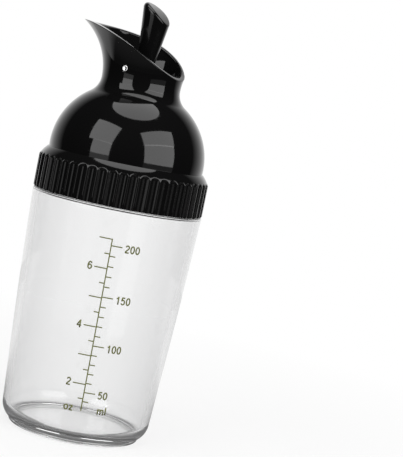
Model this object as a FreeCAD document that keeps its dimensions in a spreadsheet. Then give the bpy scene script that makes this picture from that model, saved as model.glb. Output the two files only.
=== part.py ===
# Salad dressing shaker: a clear screw-neck bottle under a black pouring lid.
# Lengths are millimetres. The bottle stands on z = 0 with its axis on +Z, and the lip points along -X.
import FreeCAD
import Part
import Sketcher
import math
import os

SIZES = {
    # Bottle: foot, heel, barrelled wall and shoulder
    "foot_inset": 3.4,
    "foot_height": 0.6,
    "foot_ring_width": 3.2,
    "foot_recess": 1.0,
    "heel_step": 0.5,
    "heel_round": 7.0,
    "heel_height": 6.3,
    "wall_taper": 4.15,
    "wall_bow": 0.28,
    "shoulder_width": 4.25,
    "shoulder_height": 90.7,
    "shoulder_round": 0.7,
    "shoulder_wall": 1.5,
    "shoulder_inner_round": 1.0,
    "bottle_wall": 2.2,
    "floor_height": 3.0,
    "floor_round": 4.8,
    # Neck of the bottle and the screw thread that the collar shares with it
    "neck_radius": 28.9,
    "neck_wall": 2.0,
    "neck_height": 13.3,
    "thread_pitch": 4.4,
    "thread_depth": 1.3,
    "thread_base": 1.9,
    "thread_crest": 0.9,
    "thread_start": 3.6,
    "thread_sink": 0.5,
    "neck_thread_turns": 1.5,
    "collar_thread_turns": 1.25,
    "thread_top_gap": 0.4,
    "thread_root_gap": 0.5,
    "thread_play": 0.15,
    # Collar and its flutes
    "collar_gap": 0.35,
    "collar_inset": 0.05,
    "collar_skirt_height": 12.35,
    "collar_shoulder_round": 12.0,
    "collar_ledge": 0.2,
    "flange_thickness": 1.7,
    "flute_count": 52,
    "flute_depth": 0.9,
    "flute_width_share": 0.8,
    "flute_rise": 1.7,
    "collar_lip_round": 0.5,
    # Gasket between the bottle's rim and the lid
    "gasket_thickness": 1.5,
    "gasket_overhang": 0.7,
    "gasket_gap": 0.3,
    # Dome, neck and trumpet spout
    "dome_inset": 2.95,
    "dome_offset": 3.4,
    "dome_rise": 1.7,
    "lid_wall": 1.9,
    "spigot_wall": 1.5,
    "spigot_inset": 0.65,
    "spigot_gap": 0.1,
    "waist_radius": 15.4,
    "waist_lift": 1.25,
    "lip_rise": 20.2,
    "lip_reach": 10.8,
    "rim_fall": 17.7,
    "trumpet_spare_share": 0.3,
    # Pin and the lever's hub on it
    "pin_rise": 4.6,
    "pin_radius": 1.15,
    "pin_recess": 0.3,
    "pin_fit": 0.02,
    "pin_running_gap": 0.06,
    "pin_edge": 0.25,
    "hub_wall": 0.9,
    "hub_width": 10.6,
    # Lever: round stem that widens to an oblique finger pad
    "stem_radius": 2.75,
    "head_radius": 6.35,
    "head_offset": 1.6,
    "lever_length": 26.0,
    "pad_front": 4.3,
    "pad_fall": 10.0,
    "pad_run": 11.6,
    "pad_round": 24.0,
    "pad_edge": 1.3,
    # Flap: the lever's foot plate, the seal and the disc below it
    "plate_cover": 0.1,
    "plate_thickness": 1.0,
    "seal_lip": 1.1,
    "seal_gap": 0.35,
    "seal_thickness": 0.8,
    "disc_edge": 0.8,
    "disc_depth": 0.9,
    "boss_radius": 4.0,
    "boss_rise": 0.5,
    "boss_gap": 0.05,
    # How far cutting shapes run past what they cut
    "overrun": 2.0,
}


class Size:
    """A length with its value now and its formula in the sheet."""

    def __init__(self, value, formula):
        self.value = value
        self.formula = formula

    def combine(self, other, sign, value):
        return Size(value, "(%s %s %s)" % (self.formula, sign, other.formula))

    def __add__(self, other):
        return self.combine(other, "+", self.value + other.value)

    def __sub__(self, other):
        return self.combine(other, "-", self.value - other.value)

    def __mul__(self, other):
        return self.combine(other, "*", self.value * other.value)

    def __truediv__(self, other):
        return self.combine(other, "/", self.value / other.value)

    def __neg__(self):
        return Size(-self.value, "(-1 * %s)" % self.formula)


def root(square):
    return Size(math.sqrt(square.value), "sqrt(%s)" % square.formula)


def number(value):
    return Size(float(value), str(value))


ZERO = number(0)
HALF = number(0.5)
TWO = number(2)
EIGHT = number(8)
TURN_LENGTH = number(2 * math.pi)
FULL_TURN = 360

doc = FreeCAD.newDocument("shaker")
sheet = doc.addObject("Spreadsheet::Sheet", "Sizes")
size = {}
for row, (alias, value) in enumerate(SIZES.items(), 1):
    sheet.set("A%d" % row, alias)
    sheet.set("B%d" % row, str(value))
    sheet.setAlias("B%d" % row, alias)
    size[alias] = Size(float(value), "Sizes." + alias)
doc.recompute()


def origin_feature(body, role):
    return next(part for part in body.Origin.OriginFeatures if part.Role == role)


def new_sketch(body, name, role, lift=ZERO):
    sketch = body.newObject("Sketcher::SketchObject", name)
    sketch.AttachmentSupport = [(origin_feature(body, role), "")]
    sketch.MapMode = "FlatFace"
    sketch.AttachmentOffset = FreeCAD.Placement(FreeCAD.Vector(0, 0, lift.value), FreeCAD.Rotation())
    if lift is not ZERO:
        sketch.setExpression("AttachmentOffset.Base.z", lift.formula)
    return sketch


def hold_point(sketch, curve, end, x, y):
    """Dimension one point of a curve from the sketch's origin."""
    for kind, axis, length in (("DistanceX", -2, x), ("DistanceY", -1, y)):
        if length is ZERO:
            sketch.addConstraint(Sketcher.Constraint("PointOnObject", curve, end, axis))
            continue
        # A distance is positive, so a point on the negative side is measured towards the origin.
        ahead = length.value > 0
        ends = (-1, 1, curve, end) if ahead else (curve, end, -1, 1)
        held = sketch.addConstraint(Sketcher.Constraint(kind, *ends, abs(length.value)))
        sketch.setExpression("Constraints[%d]" % held, (length if ahead else -length).formula)


def arc_between(start, end, radius, turn):
    """The short arc from start to end. A turn of 1 bends left on the way, and -1 bends right."""
    chord = end.sub(start)
    reach = math.sqrt(radius ** 2 - (chord.Length / 2) ** 2)
    side = FreeCAD.Vector(-chord.y, chord.x, 0).normalize() * (turn * reach)
    centre = (start + end) * 0.5 + side
    first, last = (start, end) if turn > 0 else (end, start)
    angles = [math.atan2(point.y - centre.y, point.x - centre.x) for point in (first, last)]
    circle = Part.Circle(centre, FreeCAD.Vector(0, 0, 1), radius)
    return Part.ArcOfCircle(circle, *angles)


def draw_outline(sketch, corners, bends=()):
    """Draw a closed outline through the corners. bends maps a corner's index to (radius, turn) of the
    arc that leaves it, and every other side is straight."""
    bends = dict(bends)
    points = [FreeCAD.Vector(x.value, y.value, 0) for x, y in corners]
    starts = []
    ends = []
    for index, start in enumerate(points):
        end = points[(index + 1) % len(points)]
        if index in bends:
            radius, turn = bends[index]
            curve = sketch.addGeometry(arc_between(start, end, radius.value, turn))
            held = sketch.addConstraint(Sketcher.Constraint("Radius", curve, radius.value))
            sketch.setExpression("Constraints[%d]" % held, radius.formula)
            starts.append((curve, 1 if turn > 0 else 2))
            ends.append((curve, 2 if turn > 0 else 1))
        else:
            curve = sketch.addGeometry(Part.LineSegment(start, end))
            starts.append((curve, 1))
            ends.append((curve, 2))
    for index, (x, y) in enumerate(corners):
        sketch.addConstraint(Sketcher.Constraint("Coincident", *ends[index - 1], *starts[index]))
        hold_point(sketch, *starts[index], x, y)


def draw_circle(sketch, x, y, radius):
    centre = FreeCAD.Vector(x.value, y.value, 0)
    curve = sketch.addGeometry(Part.Circle(centre, FreeCAD.Vector(0, 0, 1), radius.value))
    hold_point(sketch, curve, 3, x, y)
    held = sketch.addConstraint(Sketcher.Constraint("Radius", curve, radius.value))
    sketch.setExpression("Constraints[%d]" % held, radius.formula)


def new_body(name):
    return doc.addObject("PartDesign::Body", name)


def revolve(body, name, corners, bends=()):
    """Turn an outline in the XZ plane about the Z axis."""
    sketch = new_sketch(body, name + "_outline", "XZ_Plane")
    draw_outline(sketch, corners, bends)
    feature = body.newObject("PartDesign::Revolution", name)
    feature.Profile = sketch
    feature.ReferenceAxis = (sketch, ["V_Axis"])
    feature.Angle = FULL_TURN
    doc.recompute()
    return feature


def cut_across(body, name, sketch):
    """Cut a sketch of the XZ plane through the whole body along Y."""
    before = body.Shape.Volume
    feature = body.newObject("PartDesign::Pocket", name)
    feature.Profile = sketch
    feature.Type = "ThroughAll"
    feature.Midplane = True
    doc.recompute()
    if body.Shape.Volume >= before:
        raise RuntimeError(name + " cuts nothing")
    return feature


def screw_ridge(body, name, wall_radius, sink_radius, crest_radius, height, turns):
    """Wind a ridge up from the given height of its middle, right-handed, about Z."""
    sketch = new_sketch(body, name + "_outline", "XZ_Plane")
    base = size["thread_base"] * HALF
    crest = size["thread_crest"] * HALF
    corners = [(sink_radius, height - base), (wall_radius, height - base), (crest_radius, height - crest),
               (crest_radius, height + crest), (wall_radius, height + base), (sink_radius, height + base)]
    draw_outline(sketch, corners)
    feature = body.newObject("PartDesign::AdditiveHelix", name)
    feature.Profile = sketch
    feature.ReferenceAxis = (sketch, ["V_Axis"])
    feature.Mode = "pitch-turns-angle"
    feature.Pitch = size["thread_pitch"].value
    feature.Turns = turns.value
    feature.Angle = 0
    feature.LeftHanded = False
    feature.setExpression("Pitch", size["thread_pitch"].formula)
    feature.setExpression("Turns", turns.formula)
    doc.recompute()
    return feature


def arc_radius(run, rise):
    """Radius of an arc that starts along the run and has risen by rise at its end."""
    return (run * run + rise * rise) / (TWO * rise)


# Radii that several pieces share. The bottle's neck sets the width of all the rest.
neck_radius = size["neck_radius"]
neck_bore = neck_radius - size["neck_wall"]
shoulder_radius = neck_radius + size["shoulder_width"]
heel_wall_radius = shoulder_radius - size["wall_taper"]
foot_radius = heel_wall_radius - size["foot_inset"]
collar_radius = shoulder_radius - size["collar_inset"]
collar_bore = neck_radius + size["thread_depth"] + size["thread_top_gap"]
dome_radius = collar_radius - size["dome_inset"]
spigot_radius = dome_radius - size["lid_wall"] - size["spigot_inset"]
dome_round = dome_radius - size["dome_offset"]
waist_rise = dome_round + size["waist_lift"]
trumpet_round = arc_radius(size["lip_rise"], size["lip_reach"])
seal_radius = size["waist_radius"] - size["lid_wall"] - size["seal_gap"]
plate_radius = seal_radius - size["seal_lip"]
hub_radius = size["pin_radius"] + size["pin_running_gap"] + size["hub_wall"]

# Heights that several pieces share
shoulder_z = size["shoulder_height"]
rim_z = shoulder_z + size["neck_height"]
collar_low_z = shoulder_z + size["collar_gap"]
flange_z = rim_z + size["gasket_thickness"]
collar_top_z = flange_z + size["flange_thickness"]
dome_centre_z = collar_top_z + size["dome_rise"]
waist_z = dome_centre_z + waist_rise
pin_z = waist_z + size["pin_rise"]
lip_z = waist_z + size["lip_rise"]
plate_z = pin_z - hub_radius - size["plate_cover"]
seal_z = plate_z - size["seal_thickness"]
neck_thread_z = shoulder_z + size["thread_start"]
thread_offset = (size["thread_base"] + size["thread_crest"]) * HALF + size["thread_play"]


def bowed(low, high):
    """Radius of the gentle arc that bows out from the chord between two points of the wall."""
    run = high[0] - low[0]
    rise = high[1] - low[1]
    return (run * run + rise * rise) / (EIGHT * size["wall_bow"]) + size["wall_bow"] * HALF


def make_bottle():
    body = new_body("bottle")
    wall = size["bottle_wall"]
    shoulder_round = size["shoulder_round"]
    foot_inner = foot_radius - size["foot_ring_width"]
    heel_start = foot_radius + size["heel_step"]
    low = (heel_wall_radius, size["heel_height"])
    high = (shoulder_radius, shoulder_z - shoulder_round)
    inner_round = size["shoulder_inner_round"]
    ceiling = shoulder_z - size["shoulder_wall"]
    inner_low = (low[0] - wall, size["floor_height"] + size["floor_round"])
    inner_high = (high[0] - wall, ceiling - inner_round)
    floor_edge = inner_low[0] - size["floor_round"]
    corners = [
        (ZERO, size["foot_recess"]),
        (foot_inner, size["foot_recess"]),
        (foot_inner, ZERO),
        (foot_radius, ZERO),
        (foot_radius, size["foot_height"]),
        (heel_start, size["foot_height"]),
        low,
        high,
        (high[0] - shoulder_round, shoulder_z),
        (neck_radius, shoulder_z),
        (neck_radius, rim_z),
        (neck_bore, rim_z),
        (neck_bore, ceiling),
        (inner_high[0] - inner_round, ceiling),
        inner_high,
        inner_low,
        (floor_edge, size["floor_height"]),
        (ZERO, size["floor_height"]),
    ]
    bends = {
        5: (size["heel_round"], 1),
        6: (bowed(low, high), 1),
        7: (shoulder_round, 1),
        13: (inner_round, -1),
        14: (bowed(inner_low, inner_high), -1),
        15: (size["floor_round"], -1),
    }
    revolve(body, "shell", corners, bends)
    screw_ridge(body, "neck_thread", neck_radius, neck_radius - size["thread_sink"],
                neck_radius + size["thread_depth"], neck_thread_z, size["neck_thread_turns"])
    return body


def make_collar():
    body = new_body("screw_collar")
    outer = collar_radius
    skirt_top = collar_low_z + size["collar_skirt_height"]
    top_edge = dome_radius + size["collar_ledge"]
    lip_round = size["collar_lip_round"]
    corners = [
        (collar_bore, collar_low_z),
        (outer - lip_round, collar_low_z),
        (outer, collar_low_z + lip_round),
        (outer, skirt_top),
        (top_edge, collar_top_z),
        (spigot_radius + size["spigot_gap"], collar_top_z),
        (spigot_radius + size["spigot_gap"], flange_z),
        (collar_bore, flange_z),
    ]
    bends = {1: (lip_round, 1), 3: (size["collar_shoulder_round"], 1)}
    revolve(body, "ring", corners, bends)
    # One flute is an upright rod with a round top, sunk part of the way into the skirt and its shoulder.
    flute_width = TURN_LENGTH * outer / size["flute_count"] * size["flute_width_share"]
    flute_round = arc_radius(flute_width * HALF, size["flute_depth"])
    flute_axis = outer + flute_round - size["flute_depth"]
    flute_top = skirt_top + size["flute_rise"] - flute_round
    flute_low = collar_low_z - size["overrun"]
    sketch = new_sketch(body, "flute_outline", "XZ_Plane")
    flute_corners = [(flute_axis, flute_low), (flute_axis + flute_round, flute_low),
                     (flute_axis + flute_round, flute_top), (flute_axis, flute_top + flute_round)]
    draw_outline(sketch, flute_corners, {2: (flute_round, 1)})
    ends = [FreeCAD.Vector(x.value, y.value, 0) for x, y in (flute_corners[0], flute_corners[3])]
    line = sketch.addGeometry(Part.LineSegment(*ends), True)
    hold_point(sketch, line, 1, *flute_corners[0])
    hold_point(sketch, line, 2, *flute_corners[3])
    before = body.Shape.Volume
    flute = body.newObject("PartDesign::Groove", "flute")
    flute.Profile = sketch
    flute.ReferenceAxis = (sketch, ["Axis0"])
    flute.Angle = FULL_TURN
    doc.recompute()
    if body.Shape.Volume >= before:
        raise RuntimeError("the flute cuts nothing")
    flutes = body.newObject("PartDesign::PolarPattern", "flutes")
    flutes.Originals = [flute]
    flutes.Axis = (origin_feature(body, "Z_Axis"), [""])
    flutes.Angle = FULL_TURN
    flutes.Occurrences = int(size["flute_count"].value)
    flutes.setExpression("Occurrences", size["flute_count"].formula)
    body.Tip = flutes
    doc.recompute()
    screw_ridge(body, "collar_thread", collar_bore, collar_bore + size["thread_sink"],
                neck_radius + size["thread_root_gap"],
                neck_thread_z + size["thread_pitch"] - thread_offset, size["collar_thread_turns"])
    return body


def make_gasket():
    body = new_body("rim_gasket")
    inner = neck_bore - size["gasket_overhang"]
    outer = collar_bore - size["gasket_gap"]
    revolve(body, "ring", [(inner, rim_z), (outer, rim_z), (outer, flange_z), (inner, flange_z)])
    return body


def make_dome():
    body = new_body("spout_dome")
    wall = size["lid_wall"]
    offset = size["dome_offset"]
    dome = dome_round
    waist = size["waist_radius"]
    rise = waist_rise
    trumpet = trumpet_round
    # The hollow between dome and neck is the arc that touches the round of the dome and the waist.
    beyond = waist - offset
    hollow = (beyond * beyond + rise * rise - dome * dome) / (TWO * (dome - beyond))
    share = dome / (dome + hollow)
    touch = (offset + (beyond + hollow) * share, dome_centre_z + rise * share)
    inner_dome = dome - wall
    inner_share = inner_dome / (dome + hollow)
    inner_touch = (offset + (beyond + hollow) * inner_share, dome_centre_z + rise * inner_share)
    # The trumpet runs a little past the lip, and the rim is then cut out of it.
    top_rise = size["lip_rise"] + (trumpet - size["lip_rise"]) * size["trumpet_spare_share"]
    centre_r = waist + trumpet
    outer_top = (centre_r - root(trumpet * trumpet - top_rise * top_rise), waist_z + top_rise)
    inner_trumpet = trumpet + wall
    inner_top = (centre_r - root(inner_trumpet * inner_trumpet - top_rise * top_rise), waist_z + top_rise)
    drop = dome_centre_z - collar_top_z
    seat = (offset + root(dome * dome - drop * drop), collar_top_z)
    spigot_inner = spigot_radius - size["spigot_wall"]
    inner_run = spigot_radius - offset
    inner_rise = root(inner_dome * inner_dome - inner_run * inner_run)
    corners = [
        (spigot_inner, flange_z),
        (spigot_radius, flange_z),
        (spigot_radius, collar_top_z),
        seat,
        touch,
        (waist, waist_z),
        outer_top,
        inner_top,
        (waist - wall, waist_z),
        inner_touch,
        (spigot_radius, dome_centre_z + inner_rise),
        (spigot_inner, collar_top_z),
    ]
    bends = {
        3: (dome, 1),
        4: (hollow, -1),
        5: (trumpet, -1),
        7: (inner_trumpet, 1),
        8: (hollow + wall, 1),
        9: (inner_dome, -1),
    }
    revolve(body, "shell", corners, bends)
    # Seen from the side, the rim is one arc that is level at the lip and falls to the back.
    lip_r = waist + size["lip_reach"]
    reach = outer_top[0] + size["overrun"]
    above = lip_z + size["lip_rise"]
    back = waist + size["lid_wall"]
    back_z = lip_z - size["rim_fall"]
    rim = new_sketch(body, "rim_outline", "XZ_Plane")
    draw_outline(rim, [(-reach, lip_z), (-lip_r, lip_z), (back, back_z), (reach, back_z), (reach, above),
                       (-reach, above)], {1: (arc_radius(back + lip_r, size["rim_fall"]), -1)})
    cut_across(body, "rim", rim)
    hole = new_sketch(body, "pin_hole_outline", "XZ_Plane")
    draw_circle(hole, ZERO, pin_z, size["pin_radius"] + size["pin_fit"])
    cut_across(body, "pin_hole", hole)
    return body


def make_pin():
    """A plain pin across the neck, its ends just inside the wall."""
    span = root(trumpet_round * trumpet_round - size["pin_rise"] * size["pin_rise"])
    wall_r = size["waist_radius"] + trumpet_round - span
    half = wall_r - size["pin_recess"]
    rod = doc.addObject("Part::Cylinder", "pin_rod")
    rod.setExpression("Radius", size["pin_radius"].formula)
    rod.setExpression("Height", (half * TWO).formula)
    rod.Placement = FreeCAD.Placement(FreeCAD.Vector(0, half.value, pin_z.value),
                                      FreeCAD.Rotation(FreeCAD.Vector(1, 0, 0), 90))
    rod.setExpression("Placement.Base.y", half.formula)
    rod.setExpression("Placement.Base.z", pin_z.formula)
    doc.recompute()
    pin = doc.addObject("Part::Chamfer", "pivot_pin")
    pin.Base = rod
    edge = size["pin_edge"].value
    pin.Edges = [(index, edge, edge) for index, curve in enumerate(rod.Shape.Edges, 1)
                 if isinstance(curve.Curve, Part.Circle)]
    return pin


def make_lever():
    body = new_body("pour_lever")
    top_z = pin_z + size["lever_length"]
    half_plate = size["plate_thickness"] * HALF
    # Stem: a round bar that widens and leans back towards the pad.
    low = new_sketch(body, "stem_section", "XY_Plane", plate_z + half_plate)
    draw_circle(low, ZERO, ZERO, size["stem_radius"])
    high = new_sketch(body, "head_section", "XY_Plane", top_z + size["overrun"])
    draw_circle(high, size["head_offset"], ZERO, size["head_radius"])
    stem = body.newObject("PartDesign::AdditiveLoft", "stem")
    stem.Profile = low
    stem.Sections = [high]
    stem.Ruled = True
    doc.recompute()
    # Finger pad: the stem is cut off by a slightly crowned slope that faces back and up.
    front = -size["pad_front"]
    above = top_z + size["lever_length"] * HALF
    pad = new_sketch(body, "pad_outline", "XZ_Plane")
    stretch = size["overrun"] / size["pad_run"]
    left = (front - size["overrun"], top_z + size["pad_fall"] * stretch)
    right = (front + size["pad_run"] + size["overrun"], top_z - size["pad_fall"] - size["pad_fall"] * stretch)
    draw_outline(pad, [left, right, (right[0], above), (left[0], above)], {0: (size["pad_round"], -1)})
    slope = cut_across(body, "pad", pad)
    rounded = [index for index, edge in enumerate(body.Shape.Edges, 1)
               if edge.BoundBox.ZMin > pin_z.value and not isinstance(edge.Curve, Part.Line)]
    smooth = body.newObject("PartDesign::Fillet", "pad_edge")
    smooth.Base = (slope, ["Edge%d" % index for index in rounded])
    smooth.Radius = size["pad_edge"].value
    smooth.setExpression("Radius", size["pad_edge"].formula)
    doc.recompute()
    hub_sketch = new_sketch(body, "hub_outline", "XZ_Plane")
    draw_circle(hub_sketch, ZERO, pin_z, hub_radius)
    hub = body.newObject("PartDesign::Pad", "hub")
    hub.Profile = hub_sketch
    hub.Midplane = True
    hub.setExpression("Length", size["hub_width"].formula)
    doc.recompute()
    plate_sketch = new_sketch(body, "plate_outline", "XY_Plane", plate_z)
    draw_circle(plate_sketch, ZERO, ZERO, plate_radius)
    plate = body.newObject("PartDesign::Pad", "plate")
    plate.Profile = plate_sketch
    plate.setExpression("Length", size["plate_thickness"].formula)
    doc.recompute()
    hole = new_sketch(body, "pin_hole_outline", "XZ_Plane")
    draw_circle(hole, ZERO, pin_z, size["pin_radius"] + size["pin_running_gap"])
    cut_across(body, "pin_hole", hole)
    socket_sketch = new_sketch(body, "socket_outline", "XY_Plane", plate_z)
    draw_circle(socket_sketch, ZERO, ZERO, size["boss_radius"] + size["boss_gap"])
    before = body.Shape.Volume
    socket = body.newObject("PartDesign::Pocket", "socket")
    socket.Profile = socket_sketch
    socket.Reversed = True
    socket.setExpression("Length", (size["boss_rise"] + size["boss_gap"]).formula)
    doc.recompute()
    if body.Shape.Volume >= before:
        raise RuntimeError("the socket cuts nothing")
    return body


def make_seal():
    body = new_body("valve_seal")
    inner = size["boss_radius"] + size["boss_gap"]
    revolve(body, "ring", [(inner, seal_z), (seal_radius, seal_z), (seal_radius, plate_z), (inner, plate_z)])
    return body


def make_disc():
    """The plate below the seal, bulged underneath, with a boss up through the seal."""
    body = new_body("valve_disc")
    edge_z = seal_z - size["disc_edge"]
    low_z = edge_z - size["disc_depth"]
    boss_top = plate_z + size["boss_rise"]
    bulge = arc_radius(plate_radius, size["disc_depth"])
    revolve(body, "plate", [(ZERO, low_z), (plate_radius, edge_z), (plate_radius, seal_z),
                            (size["boss_radius"], seal_z), (size["boss_radius"], boss_top), (ZERO, boss_top)],
            {0: (bulge, 1)})
    return body


pieces = [make_bottle(), make_collar(), make_gasket(), make_dome(), make_pin(), make_lever(), make_seal(),
          make_disc()]
doc.recompute()

for item in doc.Objects:
    if "Invalid" in item.State or "Error" in item.State:
        raise RuntimeError("%s did not compute: %s" % (item.Name, item.State))
for piece in pieces:
    if piece.Shape.isNull() or not piece.Shape.isValid():
        raise RuntimeError(piece.Label + " has no valid shape")

os.makedirs("parts", exist_ok=True)
for piece in pieces:
    piece.Shape.exportStep(os.path.join("parts", piece.Label + ".step"))
    box = piece.Shape.optimalBoundingBox()
    print("%-14s %d solid, %9.1f mm3, z %6.2f to %6.2f" % (piece.Label, len(piece.Shape.Solids),
                                                            piece.Shape.Volume, box.ZMin, box.ZMax))
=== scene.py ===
# Looks of a salad dressing shaker: a clear graduated bottle under a black pouring lid with a finger lever.
import bpy
import math
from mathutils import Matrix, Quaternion, Vector


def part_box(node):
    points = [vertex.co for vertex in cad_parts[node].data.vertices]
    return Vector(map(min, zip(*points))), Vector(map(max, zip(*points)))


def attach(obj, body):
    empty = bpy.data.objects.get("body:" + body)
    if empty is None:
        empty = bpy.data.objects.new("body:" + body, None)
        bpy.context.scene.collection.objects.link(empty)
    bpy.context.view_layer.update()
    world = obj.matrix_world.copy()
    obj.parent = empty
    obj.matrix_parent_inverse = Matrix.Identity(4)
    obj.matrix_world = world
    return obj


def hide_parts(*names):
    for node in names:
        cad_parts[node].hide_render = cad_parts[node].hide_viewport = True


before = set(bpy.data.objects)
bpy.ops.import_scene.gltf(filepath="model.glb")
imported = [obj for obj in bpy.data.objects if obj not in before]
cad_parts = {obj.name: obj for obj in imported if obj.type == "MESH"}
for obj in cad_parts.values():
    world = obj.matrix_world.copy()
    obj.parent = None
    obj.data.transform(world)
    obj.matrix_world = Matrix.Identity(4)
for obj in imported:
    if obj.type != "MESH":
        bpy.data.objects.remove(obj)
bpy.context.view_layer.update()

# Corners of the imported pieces, which the new pieces take their places from
bottle_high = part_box("bottle")[1]
collar_low, collar_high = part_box("screw_collar")
gasket_low, gasket_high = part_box("rim_gasket")
dome_low, dome_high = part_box("spout_dome")
pin_low, pin_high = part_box("pivot_pin")
lever_low, lever_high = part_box("pour_lever")
seal_low, seal_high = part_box("valve_seal")
disc_low, disc_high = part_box("valve_disc")

# Bottle, in metres
SHOULDER_RADIUS = bottle_high.x
RIM_Z = bottle_high.z
NECK_HEIGHT = 0.0133
SHOULDER_Z = RIM_Z - NECK_HEIGHT
SHOULDER_ROUND = 0.0004
SHOULDER_WALL = 0.0006
SHOULDER_INNER_ROUND = 0.0003
NECK_RADIUS = 0.0289
NECK_BORE = 0.0269
BOTTLE_WALL = 0.0022
WALL_BOW = 0.00028
HEEL_WALL_RADIUS = 0.029
HEEL_HEIGHT = 0.0063
HEEL_ROUND = 0.007
HEEL_STEP = 0.0008
FOOT_RADIUS = 0.0256
FOOT_HEIGHT = 0.0015
FOOT_RING_WIDTH = 0.0032
FOOT_RECESS = 0.001
INNER_FLOOR_Z = 0.003
INNER_FLOOR_ROUND = 0.0048
BOTTLE_EDGE = 0.0002
BOTTLE_STEPS = 240
SHOULDER_STEPS = 6
SHOULDER_INNER_STEPS = 8

# Screw thread on the neck and in the collar
THREAD_PITCH = 0.0044
THREAD_DEPTH = 0.0013
THREAD_BASE = 0.0019
THREAD_CREST = 0.0009
THREAD_SINK = 0.0005
THREAD_START = 0.0036
THREAD_PLAY = 0.00015
THREAD_ROOT_GAP = 0.0005
NECK_TURNS = 1.5
COLLAR_TURNS = 1.25
STEPS_PER_TURN = 96

# Collar and its flutes
COLLAR_RADIUS = 0.0331
COLLAR_BORE = 0.0306
COLLAR_SKIRT = 0.01235
COLLAR_SHOULDER = 0.012
COLLAR_TOP_RADIUS = 0.03035
COLLAR_LIP = 0.0005
COLLAR_LIP_STEPS = 4
COLLAR_SHOULDER_STEPS = 36
SKIRT_STEPS = 4
ARCH_STEPS = 6
FLUTE_COUNT = 52
FLUTE_STEPS = 16
FLUTE_DEPTH = 0.0009
FLUTE_ROUND = 0.00186
FLUTE_RISE = 0.0017
RIDGE_SOFTNESS = 0.00034

# Dome, neck and trumpet spout
FLANGE_Z = dome_low.z
COLLAR_TOP_Z = collar_high.z
DOME_RADIUS = 0.03015
DOME_OFFSET = 0.0034
DOME_RISE = 0.0017
DOME_CENTRE_Z = COLLAR_TOP_Z + DOME_RISE
SPIGOT_RADIUS = 0.0276
SPIGOT_WALL = 0.0015
SPIGOT_GAP = 0.0001
LID_WALL = 0.0019
WAIST_RADIUS = 0.0154
LIP_RISE = 0.0202
LIP_REACH = 0.0108
RIM_FALL = 0.0177
LIP_Z = dome_high.z
WAIST_Z = LIP_Z - LIP_RISE
LIP_RADIUS = WAIST_RADIUS + LIP_REACH
LIP_EDGE = 0.0005
RIM_ROUND = 0.0012
RIM_LEAN = math.radians(28)
RIM_SEGMENTS = 6
RIM_SHARE = 0.999
LIP_SPREAD = 0.3
RISE_LEAST = LID_WALL / 100
DOME_STEPS = 240
DOME_ARC_STEPS = 32
HOLLOW_STEPS = 20
INNER_HOLLOW_STEPS = 12

# Pin, lever and flap
PIN_Z = (pin_low.z + pin_high.z) / 2
PIN_RADIUS = (pin_high.z - pin_low.z) / 2
PIN_HALF = pin_high.y
PIN_EDGE = 0.00018
PIN_DISH = 0.00018
PIN_END_FACING = 0.99
PIN_GAP = 0.00006
PIN_HOLE = PIN_RADIUS + PIN_GAP
PIN_RECESS = 0.0003
HUB_RADIUS = 0.00211
HUB_WIDTH = 0.0106
HUB_EDGE = 0.0003
PLATE_Z = lever_low.z
PLATE_RADIUS = lever_high.x
PLATE_THICKNESS = 0.001
PLATE_EDGE = 0.00025
STEM_LOW_Z = PLATE_Z + PLATE_THICKNESS / 2
STEM_RADIUS = 0.00275
HEAD_RADIUS = 0.00635
HEAD_OFFSET = 0.0016
LEVER_LENGTH = 0.026
LEVER_TOP_Z = PIN_Z + LEVER_LENGTH
PAD_FRONT = 0.0043
PAD_FALL = 0.01
PAD_RUN = 0.0116
PAD_ROUND = 0.024
PAD_EDGE = 0.0013
PAD_SLOPE_STEP = PAD_EDGE / 100
LEVER_STEPS = 96
SIDE_RINGS = 6
EDGE_RINGS = 10
PAD_RINGS = 8
BOSS_RADIUS = 0.004
BOSS_GAP = 0.00005
BOSS_RISE = 0.0005
SEAL_EDGE = 0.00025
GASKET_OVERHANG = 0.0007

# Modelling
OVERRUN = 0.002
MERGE_DISTANCE = 1e-7
RING_STEPS = 96
ROUND_STEPS = 10
SWEEP_STEPS = 24
SETTLE_ROUNDS = 40
LEFT, RIGHT = 1, -1

# Printed scale: a mark's height follows from its volume, and its place across is measured along the wall.
SCALE_AZIMUTH = math.radians(29.3)
SCALE_LEAN_PER_METRE = math.radians(27)
SPINE_LOW_Z = 0.0138
LINE_WIDTH = 0.00042
INK_PROUD = 0.00004
INK_SUNK = 0.00001
ML_FIRST_Z = 0.021
ML_STEP = 0.000353
ML_GROWTH = 0.00000014
ML_MARKS = range(40, 201, 10)
ML_LONG = 50
ML_LONG_TICK = 0.0042
ML_SHORT_TICK = 0.0022
ML_LABEL_X = 0.0053
OZ_FIRST = 2
OZ_FIRST_Z = 0.0241
OZ_STEP = 0.01108
OZ_HALVES = range(3, 15)
OZ_LABEL_HALVES = 4
OZ_LONG_TICK = 0.0048
OZ_SHORT_TICK = 0.0020
OZ_LABEL_X = -0.0056
OZ_UNIT_X = -0.0031
ML_UNIT_X = 0.0061
UNIT_Z = 0.0148
LABEL_HEIGHT = 0.003
LABEL_STROKE = 0.00052
ML_LABEL_DROP = 0.0003
OZ_LABEL_RISE = 0.00015
LABEL_GAP = 0.1
STROKE_CLOSED = 0.001
OVAL_TURN = 20
OVAL_STEPS_LEAST = 4
UPRIGHT_CUTS, LEVEL_CUTS = 5, 3

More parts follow.
